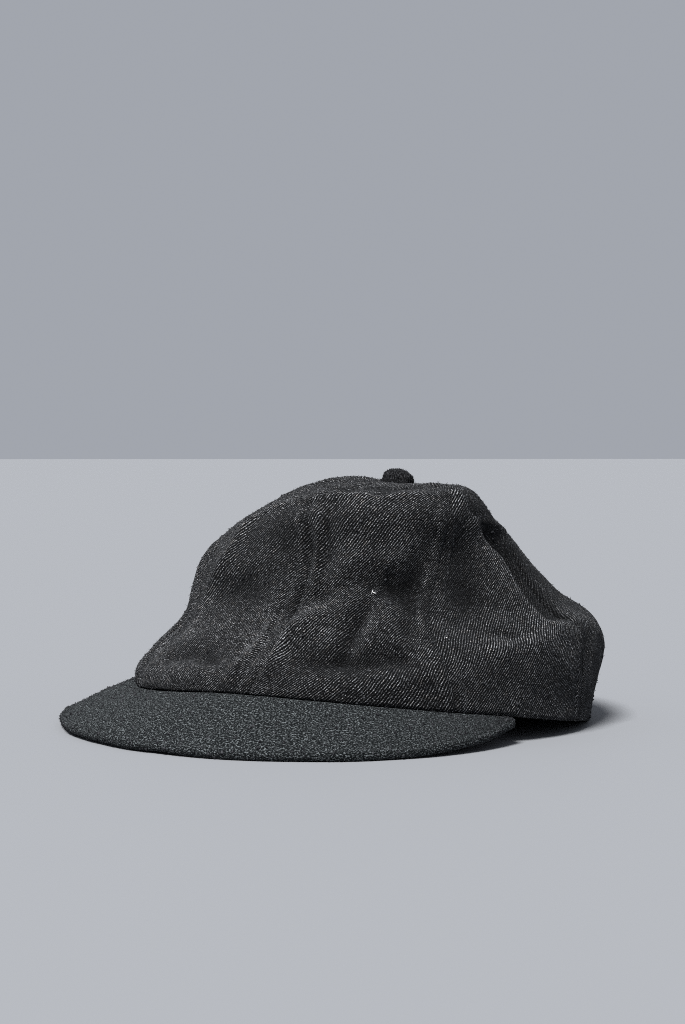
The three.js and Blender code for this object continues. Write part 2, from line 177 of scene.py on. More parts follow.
# Panels: the grid that each is made on, its rounded hem, and the swells and roughness of its cloth
PANEL_ANGLE = 360 / len(SEAMS)
PANEL_FIRST_LEVEL = 0.02
PANEL_TOP_LEVEL = 0.985
PANEL_COLUMNS = 84
PANEL_ROWS = 136
HEM_LEVELS = (0, 0.003, 0.007, 0.012)
PANEL_NAMES = (
    "panel_front_left", "panel_temple_left", "panel_side_left", "panel_back_left",
    "panel_back_right", "panel_side_right", "panel_temple_right", "panel_front_right",
)
HEM_HEIGHT = 1.8
HEM_ROUNDING = 0.8
HEM_ROUNDING_HEIGHT = 0.9
CLOTH_SWELL = 0.35
CLOTH_SWELL_LENGTHS = (14, 40)
CLOTH_ROUGHNESS = 0.07

# Seams: the groove between two panels, the raised allowance beside it, which rises between two distances
# and ends at the row of stitches, the pucker of the cloth, and how wide a panel must be for all this
SEAM_GAP = 0.02
SEAM_DIP = 0.3
SEAM_EDGE_WIDTH = 0.8
SEAM_BAND_HEIGHT = 0.26
SEAM_BAND_START = (0.4, 1.8)
SEAM_BAND_END = 1.2
STITCH_LINE = 5.4
STITCH_GROOVE = 0.2
STITCH_GROOVE_WIDTH = 0.8
SEAM_PUCKER = 0.08
SEAM_PUCKER_WIDTH = 6
SEAM_PUCKER_LENGTHS = (6, 14)
SEAM_PUCKER_SEED = SEED + 2
SEAM_MIN_PANEL = 16

# Peak: it runs round the hem to a thinner corner on each side, reaches out most in front and fans out
# less than the hem. Its outer edge lies near the ground.
PEAK_CORNER = 106
PEAK_REACH = 32.5
PEAK_CORNER_REACH = 3.5
PEAK_REACH_POWER = 4
PEAK_FAN = 0.8
PEAK_TUCK = 3.5
PEAK_THICKNESS = 4.2
PEAK_CORNER_THICKNESS = 3
PEAK_EDGE_Z = 4.2
PEAK_FRONT_LIFT = 1
PEAK_FRONT_ANGLE = 50
PEAK_CORNER_ANGLE = 80
PEAK_CORNER_RISE = 0.15
PEAK_SHORT_REACH = 12
PEAK_DROOP = 0.25
PEAK_SECTIONS = 380
PEAK_TOP_STEPS = 42
PEAK_EDGE_STEPS = 17
PEAK_SWELL = 0.3
PEAK_SWELL_LENGTHS = (16, 50)
PEAK_SWELL_SEED = SEED + 1
PEAK_ROUGHNESS = 0.06
PEAK_OUTLINE_LENGTH = 380

# Button: a covered dome that stands tilted on the apex, its foot following the crown just below it
BUTTON_SIDES = 72
BUTTON_TILT = 14
BUTTON_BASE_LEVELS = (0.976, 0.954)
BUTTON_DOME_COLUMNS = ("radius", "height")
BUTTON_DOME_ROWS = ((6.9, 1.6), (7, 2.9), (6.3, 4.4), (4.8, 5.7), (2.6, 6.5))
BUTTON_HEIGHT = 6.8
BUTTON_DOME_RINGS = 24
BUTTON_SMOOTHING = 8
BUTTON_MIDDLE = 2
# Pleats of the cloth that covers the button: two waves round it, which fade above its lower rings
BUTTON_PLEATS = (13, 7)
BUTTON_PLEAT_TURN = 1
BUTTON_PLEAT_HEIGHT = 0.09
BUTTON_PLEAT_RINGS = 4
BUTTON_PLEAT_FADE = 6
BUTTON_ROUGHNESS = 0.07

# Nap: how many wisps, fibres and pills stand on each cloth, and how long or wide they are
NAP_COLUMNS = ("wisps", "wisp_length", "fibres", "fibre_length", "pills", "pill_size")
NAP_ROWS = {
    "crown_nap": (9500, 1.0, 2200, 2.2, 4000, 0.72),
    "peak_nap": (10000, 0.9, 1200, 1.8, 3000, 0.8),
    "button_nap": (1000, 0.7, 60, 1.2, 60, 0.4),
}
# How far roots lie from the cloth's own points, how deep they start, how steeply they rise against the
# cloth, and how far they stay above the ground
NAP_SCATTER = 0.5
NAP_ROOT = 0.1
NAP_RISE = (0.25, 1.3)
NAP_CLEAR = 0.05
# Most wisps and pills are near their least size and a few are large: least share, spread and power
WISP_SPREAD = (0.3, 1.4)
PILL_SPREAD = (0.4, 1.2)
SPREAD_POWER = 3
# Wisps and fibres taper to a point. A fibre has one bend, and its two parts are shares of its length.
WISP_RADIUS = 0.2
FIBRE_RADIUS = 0.045
FIBRE_LENGTHS = (0.4, 1)
FIBRE_BEND = 0.7
FIBRE_ROOT_SHARE = 0.55
FIBRE_TIP_SHARE = 0.45
FIBRE_TAPER = 0.8
# Pills are a little flat, and each side reaches out unevenly
PILL_HEIGHT = 0.8
PILL_UNEVENNESS = (0.6, 1.1)

# Stitches: bow and lift are shares of their radius, and the sections run from end to end
STITCH_PITCH = 3.2
STITCH_LENGTH = 2.3
STITCH_RADIUS = 0.15
STITCH_SIDES = 6
STITCH_BOW = 0.9
STITCH_LIFT = 0.2
STITCH_LEVELS = (0.03, 0.9)
STITCH_SAMPLES = 400
STITCH_COLUMNS = ("share", "size")
STITCH_ROWS = ((0.0, 0.35), (0.15, 0.85), (0.5, 1), (0.85, 0.85), (1.0, 0.35))
# Lint: where each speck lies on the crown, which way it points and how long it is
LINT_COLUMNS = ("angle", "level", "turn", "length")
LINT_ROWS = {
    "thread": (68.1, 0.395, 250, 2.8),
    "thread_end": (68.6, 0.387, 330, 1.6),
    "speck_side": (93, 0.23, 20, 0.9),
    "speck_temple": (66, 0.22, 80, 0.8),
}
LINT_RADIUS = 0.28
LINT_LIFT = 0.5
LINT_BEND = (0.2, 0.3, -0.9)

# Noise patterns of the materials. Scale is for each millimetre of cloth, and for each metre in fibres. Low
# and high are the noise values that become 0 and 1.
NOISE_COLUMNS = ("scale", "detail", "roughness", "low", "high")
NOISE_ROWS = {
    "twill_yarn": (0.8, 1, 0.5, 0.42, 0.6),
    "twill_fuzz": (2.2, 1, 0.5, 0.42, 0.6),
    "twill_clear": (0.08, 2, 0.5, 0.35, 0.65),
    "twill_warm": (0.35, 2, 0.5, 0.5, 0.7),
    "twill_speck": (2.6, 2, 0.6, 0.66, 0.74),
    "felt_coarse": (0.5, 3, 0.7, 0.3, 0.7),
    "felt_fine": (1.6, 2, 0.6, 0.43, 0.6),
    "felt_speck": (2.8, 2, 0.6, 0.66, 0.74),
    "fibre": (900, 2, 0.5, 0.4, 0.65),
}

# Twill: distance between its raised lines, their slant above the level, how far and how slowly they sway,
# and how much of each line's wave stands up
TWILL_PITCH = 0.93
TWILL_SLANT = 52
TWILL_SWAY = 1.2
TWILL_SWAY_SCALE = 0.15
TWILL_RIDGE = (-0.5, 0.9)
# How often the yarn changes along and across the lines
YARN_ALONG = 0.8
YARN_ACROSS = 2.2
# The yarn, fuzz and coarse tones are a pattern's share and a base, and the clear tone runs from low to
# high. Contrast is the power that the whole tone is raised to. Bumps are in millimetres.
TWILL_YARN_TONE = (0.35, 0.72)
TWILL_FUZZ_TONE = (0.65, 0.45)
TWILL_CLEAR_TONE = (0.82, 1.0)
TWILL_CONTRAST = 3.4
TWILL_SPECKS = 0.5
TWILL_RIDGE_BUMP = 0.6
TWILL_BUMP = 0.4
FELT_COARSE_TONE = (0.7, 0.5)
FELT_CONTRAST = 2.7
FELT_SPECKS = 0.7
FELT_COARSE_BUMP = 0.8
FELT_BUMP = 0.5
BUMP_STRENGTH = 0.8

# Dull cloth with a faint sheen
CLOTH_SPECULAR = 0.05
SHEEN_ROUGHNESS = 0.45
SHEEN_TINT = (0.75, 0.8, 0.88)

# Colours, linear
TWILL_DARK = (0.002, 0.002, 0.0022)
TWILL_LIGHT = (0.325, 0.334, 0.352)
TWILL_WARM = (0.346, 0.33, 0.323)
# Painted shading of the twill: its tone from the deepest cloth and darkest painted shade to the highest
# cloth and brightest painted highlight
TWILL_PAINTED_SHADING = (-4.5, 6)
TWILL_PAINTED_SHADING_TONE = (0.25, 2.0)
FELT_DARK = (0.004, 0.005, 0.0055)
FELT_LIGHT = (0.134, 0.149, 0.156)
BUTTON_DARK = (0.003, 0.003, 0.0035)
BUTTON_LIGHT = (0.04, 0.041, 0.044)
FIBRE_DARK = (0.004, 0.004, 0.005)
FIBRE_LIGHT = (0.05, 0.052, 0.057)
FIBRE_PALE = (0.22, 0.23, 0.25)
THREAD_LIGHT = (0.05, 0.052, 0.056)
LINT_WHITE = (0.75, 0.75, 0.74)
FLOOR_PALE = (0.212, 0.22, 0.235)
FLOOR_ROUGHNESS = 0.7
FLOOR_SPECULAR = 0.1
# Half the floor's side, in metres
FLOOR_SIZE = 100

# Studio light: an even sky and one soft sun, placed by how far right, near and up it is in the photograph
WORLD_COLOUR = (0.36, 0.38, 0.42)
WORLD_STRENGTH = 1.0
KEY_POWER = 7.2
KEY_ANGLE = 20
KEY_COLOUR = (1.0, 0.99, 0.97)
KEY_RIGHT = -0.28
KEY_NEAR = 0.6
KEY_UP = 1.0

# Camera, where the photograph was taken from: it looks at the wearer's left side, a little from the front
CAMERA_AZIMUTH = 70
CAMERA_DISTANCE = 825
CAMERA_HEIGHT = 114
CAMERA_FOCAL_PX = 1900
CAMERA_AIM_X = 362
CAMERA_HORIZON_Y = 457
PHOTO_WIDTH = 685
PHOTO_HEIGHT = 1024
SENSOR = 36
# How many pixels wide the render's filter is: narrow, because the photograph's cloth is crisp
PIXEL_FILTER = 1.0


def around_seams(row, angle):
    """The value between seams of one ring's row, on a closed smooth curve."""
    turn = (angle % 360) / PANEL_ANGLE
    seam = np.floor(turn).astype(int)
    t = turn - seam
    values = np.asarray(row, float)
    before, start, end, after = (values[(seam + step) % len(SEAMS)] for step in (-1, 0, 1, 2))
    square = 2 * before - 5 * start + 4 * end - after
    cube = 3 * start - before - 3 * end + after
    return 0.5 * (2 * start + (end - before) * t + square * t**2 + cube * t**3)


def between_rings(table, apex_value, angle, level):
    """The value at a level between rings, on a smooth curve that ends at the apex."""
    knots = np.array(list(LEVELS.values()) + [1.0])
    values = [around_seams(row, angle) for row in table.values()]
    values.append(np.full_like(angle, apex_value))
    steps = np.diff(knots)
    rises = [(after - before) / step for before, after, step in zip(values, values[1:], steps)]
    slopes = [rises[0]]
    for k in range(1, len(knots) - 1):
        slopes.append((rises[k - 1] * steps[k] + rises[k] * steps[k - 1]) / (steps[k - 1] + steps[k]))
    slopes.append(rises[-1])
    values = np.array(values)
    slopes = np.array(slopes)
    k = np.clip(np.searchsorted(knots, level, side="right") - 1, 0, len(steps) - 1)
    at = np.arange(len(angle))
    span = steps[k]
    t = (level - knots[k]) / span
    return (
        (2 * t**3 - 3 * t**2 + 1) * values[k, at]
        + (t**3 - 2 * t**2 + t) * span * slopes[k, at]
        + (3 * t**2 - 2 * t**3) * values[k + 1, at]
        + (t**3 - t**2) * span * slopes[k + 1, at]
    )


def crown_radius(angle, level):
    return between_rings(RADIUS, 0, angle, level)


def smooth_crown(angle, level):
    """The crown before its folds."""
    radius = crown_radius(angle, level)
    lean = np.clip(level, 0, 1) ** LEAN_POWER
    direction = np.radians(angle + between_rings(TURN, 0, angle, level))
    x = APEX[0] * lean + radius * np.sin(direction)
    y = CROWN_Y + (APEX[1] - CROWN_Y) * lean - radius * np.cos(direction)
    slope = APEX_SLOPE * (y - APEX[1]) * np.exp(-((radius / APEX_REACH) ** 2))
    return np.stack([x, y, between_rings(HEIGHT, APEX[2], angle, level) - slope], -1)


def unit(vectors):
    return vectors / np.linalg.norm(vectors, axis=-1, keepdims=True)


def crown_normal(angle, level):
    angle_step = 1
    level_step = 0.01
    middle = np.clip(level, level_step, PANEL_TOP_LEVEL - level_step)
    along = smooth_crown(angle + angle_step, middle) - smooth_crown(angle - angle_step, middle)
    up = smooth_crown(angle, middle + level_step) - smooth_crown(angle, middle - level_step)
    return unit(np.cross(along, up))


def fold_lift(rows, place):
    """How far the folds lift the cloth at each place: a fold is full on its line and fades away from it."""
    total = np.zeros(len(place))
    for row in rows.values():
        fold = dict(zip(FOLD_COLUMNS, row))
        angles = np.array([fold["angle1"], fold["angle2"], fold["angle3"]], float)
        levels = np.array([fold["level1"], fold["level2"], fold["level3"]], float)
        points = smooth_crown(angles, levels)
        nearest = np.full(len(place), np.inf)
        along = np.zeros(len(place))
        for part in (0, 1):
            line = points[part + 1] - points[part]
            share = np.clip((place - points[part]) @ line / (line @ line), 0, 1)
            distance = np.linalg.norm(place - points[part] - share[:, None] * line, axis=1)
            closer = distance < nearest
            nearest = np.where(closer, distance, nearest)
            along = np.where(closer, (part + share) / 2, along)
        fade = 1 - (1 - FOLD_END_SHARE) * (2 * along - 1) ** 2
        total += fold["height"] * fade * np.exp(-((nearest / fold["width"]) ** 2))
    return total


def all_folds(place):
    """How far all folds, the coarse and the fine, lift the cloth."""
    return fold_lift(FOLD_ROWS, place) + fold_lift(FINE_FOLD_ROWS, place)


def smooth_step(low, high, value):
    t = np.clip((value - low) / (high - low), 0, 1)
    return t * t * (3 - 2 * t)


def waves(place, seed, shortest, longest, count=24):
    """Soft random ups and downs, mostly between -1 and 1 and the same on every run."""
    random = np.random.default_rng(seed)
    total = np.zeros(len(place))
    for _ in range(count):
        direction = unit(random.normal(size=3))
        length = random.uniform(shortest, longest)
        total += np.sin(place @ direction * (2 * math.pi / length) + random.uniform(0, 2 * math.pi))
    return total / math.sqrt(count)


def panel_width(seam, level):
    """How wide the panel that begins at a seam is at each level."""
    return np.radians(PANEL_ANGLE) * crown_radius(np.full_like(level, seam + PANEL_ANGLE / 2), level)


def seam_room(width):
    """1 where a panel is wide enough for its seams to show, and 0 near the apex, where it isn't."""
    return smooth_step(SEAM_MIN_PANEL / 2, SEAM_MIN_PANEL, width)


def seam_profile(distance, width, pucker):
    """Height of the cloth near a seam: the groove between panels, the allowance and the stitch line."""
    groove = -SEAM_DIP * np.exp(-((distance / SEAM_EDGE_WIDTH) ** 2))
    band = smooth_step(*SEAM_BAND_START, distance)
    band = band * (1 - smooth_step(STITCH_LINE - SEAM_BAND_END, STITCH_LINE, distance))
    stitches = np.exp(-(((distance - STITCH_LINE) / STITCH_GROOVE_WIDTH) ** 2))
    gathered = SEAM_PUCKER * pucker * np.exp(-((distance / SEAM_PUCKER_WIDTH) ** 2))
    return groove + seam_room(width) * (SEAM_BAND_HEIGHT * band - STITCH_GROOVE * stitches + gathered)


def seam_highlight(distance, width):
    """Where a painted highlight lies along the raised edge of a seam's allowance."""
    edge = STITCH_LINE - SEAM_HIGHLIGHT_INSET
    return SEAM_HIGHLIGHT * seam_room(width) * np.exp(-(((distance - edge) / SEAM_HIGHLIGHT_WIDTH) ** 2))


def panel_surface(seam, share, level):
    """One panel's outer cloth at shares of its width and levels.

    It gives the angle round the crown, the place on the smooth crown, the cloth's height above it, the
    panel's width and the painted shading that the cloth's tone follows: painted shade and highlights.
    """
    width = panel_width(seam, level)
    inset = SEAM_GAP / 2 / width
    angle = seam + PANEL_ANGLE * (inset + (1 - 2 * inset) * share)
    place = smooth_crown(angle, level)
    lift = all_folds(place)
    near_start = share * width
    near_end = (1 - share) * width
    pucker = waves(place, SEAM_PUCKER_SEED, *SEAM_PUCKER_LENGTHS)
    lift += seam_profile(near_start, width, pucker) + seam_profile(near_end, width, pucker)
    lift += CLOTH_SWELL * waves(place, SEED, *CLOTH_SWELL_LENGTHS)
    hem = level / HEM_LEVELS[-1] * HEM_HEIGHT
    lift -= HEM_ROUNDING * np.exp(-((hem / HEM_ROUNDING_HEIGHT) ** 2))
    # Painted shading: the cloth's heights paint shade in hollows and grooves and highlights on crests, and
    # the painted light strokes add to them
    relief = lift + fold_lift(PAINTED_LIGHT_ROWS, place)
    # Painted highlights along the edges of the seam allowances
    seam_highlights = seam_highlight(near_start, width) + seam_highlight(near_end, width)
    relief += seam_highlights * (SEAM_HIGHLIGHT_EVEN + SEAM_HIGHLIGHT_UNEVEN * pucker)
    return angle, place, lift, width, relief


def path_lengths(points):
    """How far along a line each of its points is."""
    return np.concatenate([[0], np.cumsum(np.linalg.norm(np.diff(points, axis=0), axis=1))])


def point_grid(rows, columns, offset=0):
    """Point numbers in rows, counted on from an offset."""
    return offset + np.arange(rows * columns).reshape(rows, columns)


def closed_rings(ids):
    """Rows of point numbers that each come back to their first point."""
    return np.concatenate([ids, ids[:, :1]], 1)


def grid_faces(ids, flip=False):
    """Four-sided faces of a grid of point numbers, row after row."""
    corners = [ids[:-1, :-1], ids[:-1, 1:], ids[1:, 1:], ids[1:, :-1]]
    if flip:
        corners.reverse()
    return np.stack([corner.ravel() for corner in corners], -1)


def strip_faces(first, second):
    """Four-sided faces between two equally long rows of point numbers."""
    return np.stack([first[:-1], first[1:], second[1:], second[:-1]], -1)


def new_object(name, points, faces, material, uv=None, **attributes):
    """A smooth-shaded mesh object from points in millimetres."""
    mesh = bpy.data.meshes.new(name)
    mesh.from_pydata((np.asarray(points) * MM).tolist(), [], [list(face) for face in faces])
    mesh.polygons.foreach_set("use_smooth", np.ones(len(mesh.polygons), bool))
    for key, values in attributes.items():
        attribute = mesh.attributes.new(key, "FLOAT", "POINT")
        attribute.data.foreach_set("value", np.asarray(values, np.float32))
    if uv is not None:
        layer = mesh.uv_layers.new(name="cloth")
        loops = np.empty(len(mesh.loops), np.int64)
        mesh.loops.foreach_get("vertex_index", loops)
        layer.data.foreach_set("uv", np.asarray(uv, np.float32)[loops].ravel())
    mesh.materials.append(material)
    piece = bpy.data.objects.new(name, mesh)
    bpy.context.scene.collection.objects.link(piece)
    return piece


def place_piece(piece, slot, *nodes):
    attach(piece, "root")
    if nodes:
        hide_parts(*nodes)


def build_panel(number, material, random):
    """One panel as a closed cloth wall. It gives the outer points and normals that its nap grows from."""
    seam = number * PANEL_ANGLE
    upper_levels = np.linspace(PANEL_FIRST_LEVEL, PANEL_TOP_LEVEL, PANEL_ROWS)
    levels = np.concatenate([HEM_LEVELS, upper_levels])
    shares = np.linspace(0, 1, PANEL_COLUMNS + 1)
    level, share = (grid.ravel() for grid in np.meshgrid(levels, shares, indexing="ij"))
    rows, columns = len(levels), len(shares)
    angle, place, lift, width, relief = panel_surface(seam, share, level)
    normal = crown_normal(angle, level)
    roughness = CLOTH_ROUGHNESS * random.normal(size=(rows, columns))
    roughness[:, [0, -1]] = 0
    outer = place + normal * (lift + roughness.ravel())[:, None]
    inner = place + normal * (fold_lift(FOLD_ROWS, place) - CLOTH)[:, None]
    inner[:columns, 2] = outer[:columns, 2]
    outer[:, 2] = np.maximum(outer[:, 2], 0)
    inner[:, 2] = np.maximum(inner[:, 2], 0)
    ids = point_grid(rows, columns)
    back = point_grid(rows, columns, rows * columns)
    faces = np.concatenate([
        grid_faces(ids),
        grid_faces(back, flip=True),
        strip_faces(back[0], ids[0]),
        strip_faces(ids[-1], back[-1]),
        strip_faces(ids[:, 0], back[:, 0]),
        strip_faces(back[:, -1], ids[:, -1]),
    ])
    across = (share - 0.5) * width
    up = path_lengths(smooth_crown(np.full(rows, seam + PANEL_ANGLE / 2), levels))
    uv = np.stack([across, np.repeat(up, columns)], -1)
    # The painted shading goes with the cloth as a point attribute
    piece = new_object(
        "cloth_" + PANEL_NAMES[number], np.concatenate([outer, inner]), faces, material,
        uv=np.tile(uv, (2, 1)), relief=np.tile(relief, 2),
    )
    place_piece(piece, "crown_twill", PANEL_NAMES[number])
    return outer, normal


def hem_point(angle):
    """Places of the outer cloth along the hem, with the coarse folds alone."""
    place = smooth_crown(angle, np.zeros_like(angle))
    lift = fold_lift(FOLD_ROWS, place)
    point = place + crown_normal(angle, np.zeros_like(angle)) * lift[:, None]
    point[:, 2] = np.maximum(point[:, 2], 0)
    return point


def peak_grid():
    """Closed cross-sections of the peak: tucked end, top, rounded outer edge, and back beneath."""
    angle = np.linspace(-PEAK_CORNER, PEAK_CORNER, PEAK_SECTIONS + 1)
    hem = hem_point(angle)
    taper = (np.abs(angle) / PEAK_CORNER) ** PEAK_REACH_POWER
    reach = PEAK_REACH + (PEAK_CORNER_REACH - PEAK_REACH) * taper
    thickness = PEAK_THICKNESS + (PEAK_CORNER_THICKNESS - PEAK_THICKNESS) * taper
    lift = PEAK_FRONT_LIFT * np.maximum(0, 1 - (angle / PEAK_FRONT_ANGLE) ** 2)
    edge_z = PEAK_EDGE_Z + lift + PEAK_CORNER_RISE * np.maximum(0, np.abs(angle) - PEAK_CORNER_ANGLE)
    seam_z = hem[:, 2] - GAP
    drop = (seam_z - edge_z) * np.clip(reach / PEAK_SHORT_REACH, 0, 1)
    radial = np.stack([np.sin(np.radians(angle)), -np.cos(np.radians(angle))], -1)
    fan = np.stack([np.sin(np.radians(angle * PEAK_FAN)), -np.cos(np.radians(angle * PEAK_FAN))], -1)
    half = thickness / 2
    flat = reach - half

    def top_z(share):
        return seam_z - drop * ((1 - PEAK_DROOP) * share + PEAK_DROOP * share**2)

    def ring(out, z, direction=fan):
        return np.concatenate([hem[:, :2] + direction * out[:, None], z[:, None]], -1)

    steps = np.linspace(0, 1, PEAK_TOP_STEPS)[:-1]
    tuck = np.full_like(angle, -PEAK_TUCK)
    loop = [ring(tuck, seam_z, radial)]
    loop += [ring(flat * step, top_z(step)) for step in steps]
    for turn in np.linspace(math.pi / 2, -math.pi / 2, PEAK_EDGE_STEPS + 1):
        loop.append(ring(flat + half * math.cos(turn), top_z(1) - half + half * math.sin(turn)))
    loop += [ring(flat * step, top_z(step) - thickness) for step in steps[::-1]]
    loop.append(ring(tuck, seam_z - thickness, radial))
    return np.stack(loop, 1)


def grid_normals(points):
    """Outward normals of a grid of closed sections."""
    along = np.gradient(points, axis=0)
    over = (np.roll(points, -1, 1) - np.roll(points, 1, 1)) / 2
    never_zero = 1e-9
    return unit(np.cross(over, along) + never_zero)


def build_peak(material, random):
    """The stiff peak as one closed solid. It gives the points and normals that its nap grows from."""
    points = peak_grid()
    sections, count, _ = points.shape
    normal = grid_normals(points)
    flat = points.reshape(-1, 3)
    swell = PEAK_SWELL * waves(flat, PEAK_SWELL_SEED, *PEAK_SWELL_LENGTHS).reshape(sections, count)
    roughness = PEAK_ROUGHNESS * random.normal(size=(sections, count))
    loose = np.ones(count)
    loose[[0, 1, -2, -1]] = 0
    points = points + normal * ((swell + roughness) * loose)[..., None]
    points[..., 2] = np.maximum(points[..., 2], 0)
    ids = point_grid(sections, count)
    faces = [grid_faces(closed_rings(ids))]
    half = count // 2
    first, last = ids[0], ids[-1]
    faces.append(strip_faces(first[::-1][:half], first[:half]))
    faces.append(strip_faces(last[:half], last[::-1][:half]))
    out = path_lengths(points[sections // 2])
    side = np.linspace(-0.5, 0.5, sections) * PEAK_OUTLINE_LENGTH
    uv = np.stack(np.broadcast_arrays(side[:, None], out[None, :]), -1).reshape(-1, 2)
    piece = new_object("cloth_peak", points.reshape(-1, 3), np.concatenate(faces), material, uv=uv)
    place_piece(piece, "peak_cloth", "peak")
    return points.reshape(-1, 3), normal.reshape(-1, 3)


def build_button(material, random):
    """The covered button, closed beneath. It gives the points and normals that its nap grows from."""
    angles = np.arange(BUTTON_SIDES) * 360 / BUTTON_SIDES
    around = np.radians(angles)
    turned = np.stack([np.sin(around), -np.cos(around), np.zeros_like(angles)], -1)
    lean = np.array(Matrix.Rotation(-math.radians(BUTTON_TILT), 3, "X"))
    base = [smooth_crown(angles, np.full_like(angles, level)) + [0, 0, GAP] for level in BUTTON_BASE_LEVELS]
    profile = np.array([*BUTTON_DOME_ROWS, (0, BUTTON_HEIGHT)])
    columns = dict(zip(BUTTON_DOME_COLUMNS, profile.T))
    knots = np.arange(len(profile))
    fine = np.linspace(0, knots[-1], BUTTON_DOME_RINGS + 1)[:-1]
    radii = np.interp(fine, knots, columns["radius"])
    heights = np.interp(fine, knots, columns["height"])
    dome = [(turned * radius + [0, 0, height]) @ lean.T + APEX for radius, height in zip(radii, heights)]
    points = np.stack([*base, *dome])
    start = len(base) + 1
    for _ in range(BUTTON_SMOOTHING):
        neighbours = points[start - 1:-2] + points[start + 1:]
        points[start:-1] = (neighbours + 2 * points[start:-1]) / 4
    outward = unit(points - (np.array(APEX) + [0, 0, BUTTON_MIDDLE]))
    pleats = np.cos(around * BUTTON_PLEATS[0]) + np.cos(around * BUTTON_PLEATS[1] + BUTTON_PLEAT_TURN)
    fade = np.exp(-np.maximum(0, np.arange(len(points)) - BUTTON_PLEAT_RINGS) / BUTTON_PLEAT_FADE)
    roughness = BUTTON_ROUGHNESS * random.normal(size=points.shape[:2])
    bumps = BUTTON_PLEAT_HEIGHT * pleats * fade[:, None] + roughness
    bumps[:len(base)] = 0
    points = points + outward * bumps[..., None]
    rings = closed_rings(point_grid(len(points), BUTTON_SIDES))
    faces = grid_faces(rings).tolist()
    foot = len(points) * BUTTON_SIDES
    crown = foot + 1
    for first, after in zip(rings[0], rings[0, 1:]):
        faces.append([foot, after, first])
    for first, after in zip(rings[-1], rings[-1, 1:]):
        faces.append([crown, first, after])
    flat = points.reshape(-1, 3)
    ends = [base[0].mean(axis=0), lean @ [0, 0, BUTTON_HEIGHT] + APEX]
    everything = np.concatenate([flat, ends])
    piece = new_object("cloth_button", everything, faces, material, uv=everything[:, :2] - APEX[:2])
    place_piece(piece, "button_cloth", "button")
    return flat, outward.reshape(-1, 3)


def turned_side(directions):
    """Two directions square to each other and to the given ones."""
    nearly_upright = 0.9
    helper = np.where(np.abs(directions[:, 2:]) < nearly_upright, [[0, 0, 1]], [[1, 0, 0]])
    side = unit(np.cross(directions, helper))
    return side, np.cross(directions, side)


def three_corners(centres, side, other, radius):
    corners = []
    for turn in (0, 120, 240):
        across = side * math.cos(math.radians(turn)) + other * math.sin(math.radians(turn))
        corners.append(centres + across * radius)
    return corners


def repeated_faces(one, count, corners):
    """The faces of many like small bodies, each with its own run of corners."""
    return [[start * corners + corner for corner in face] for start in range(count) for face in one]


def tufts(roots, directions, lengths, radius):
    """Short closed wisps that taper from three corners to a point."""
    side, other = turned_side(directions)
    points = [*three_corners(roots, side, other, radius), roots + directions * lengths[:, None]]
    faces = repeated_faces([(2, 1, 0), (0, 1, 3), (1, 2, 3), (2, 0, 3)], len(roots), 4)
    return np.stack(points, 1).reshape(-1, 3), faces


def fibres(roots, directions, lengths, radius, bend):
    """Longer closed fibres that taper to a point, each with one bend."""
    side, other = turned_side(directions)
    middle = roots + directions * (FIBRE_ROOT_SHARE * lengths)[:, None]
    tip = middle + unit(directions + bend) * (FIBRE_TIP_SHARE * lengths)[:, None]
    root_corners = three_corners(roots, side, other, radius)
    points = [*root_corners, *three_corners(middle, side, other, FIBRE_TAPER * radius), tip]
    one = [(2, 1, 0), (0, 1, 4, 3), (1, 2, 5, 4), (2, 0, 3, 5), (3, 4, 6), (4, 5, 6), (5, 3, 6)]
    return np.stack(points, 1).reshape(-1, 3), repeated_faces(one, len(roots), 7)


def pills(roots, normals, sizes, random):
    """Small lumps of matted fibre, each an uneven eight-sided ball."""
    side, other = turned_side(normals)
    points = []
    for axis, height in ((side, 1), (other, 1), (normals, PILL_HEIGHT)):
        for sign in (1, -1):
            reach = sizes * random.uniform(*PILL_UNEVENNESS, size=len(sizes)) * height * sign
            points.append(roots + axis * reach[:, None])
    one = [(0, 2, 4), (2, 1, 4), (1, 3, 4), (3, 0, 4), (2, 0, 5), (1, 2, 5), (3, 1, 5), (0, 3, 5)]
    return np.stack(points, 1).reshape(-1, 3), repeated_faces(one, len(roots), 6)


def joined(parts):
    """One list of points and faces from several."""
    points, faces, start = [], [], 0
    for part_points, part_faces in parts:
        points.append(part_points)
        faces.extend([[start + corner for corner in face] for face in part_faces])
        start += len(part_points)
    return np.concatenate(points), faces


def nap_roots(points, normals, count, random):
    """Random places on a cloth surface, with the way its fibres lean there."""
    chosen = random.choice(len(points), count, replace=False)
    normal = normals[chosen]
    flat = random.normal(size=(count, 3))
    flat = unit(flat - (flat * normal).sum(1, keepdims=True) * normal)
    roots = points[chosen] + flat * random.uniform(0, NAP_SCATTER, size=(count, 1)) - normal * NAP_ROOT
    rise = random.uniform(*NAP_RISE, size=(count, 1))
    return roots, normal, unit(flat + normal * rise)


def mostly_small(spread, count, random):
    """Shares of a usual size, most of them near the least and a few large."""
    least, more = spread
    return least + more * random.random(count) ** SPREAD_POWER


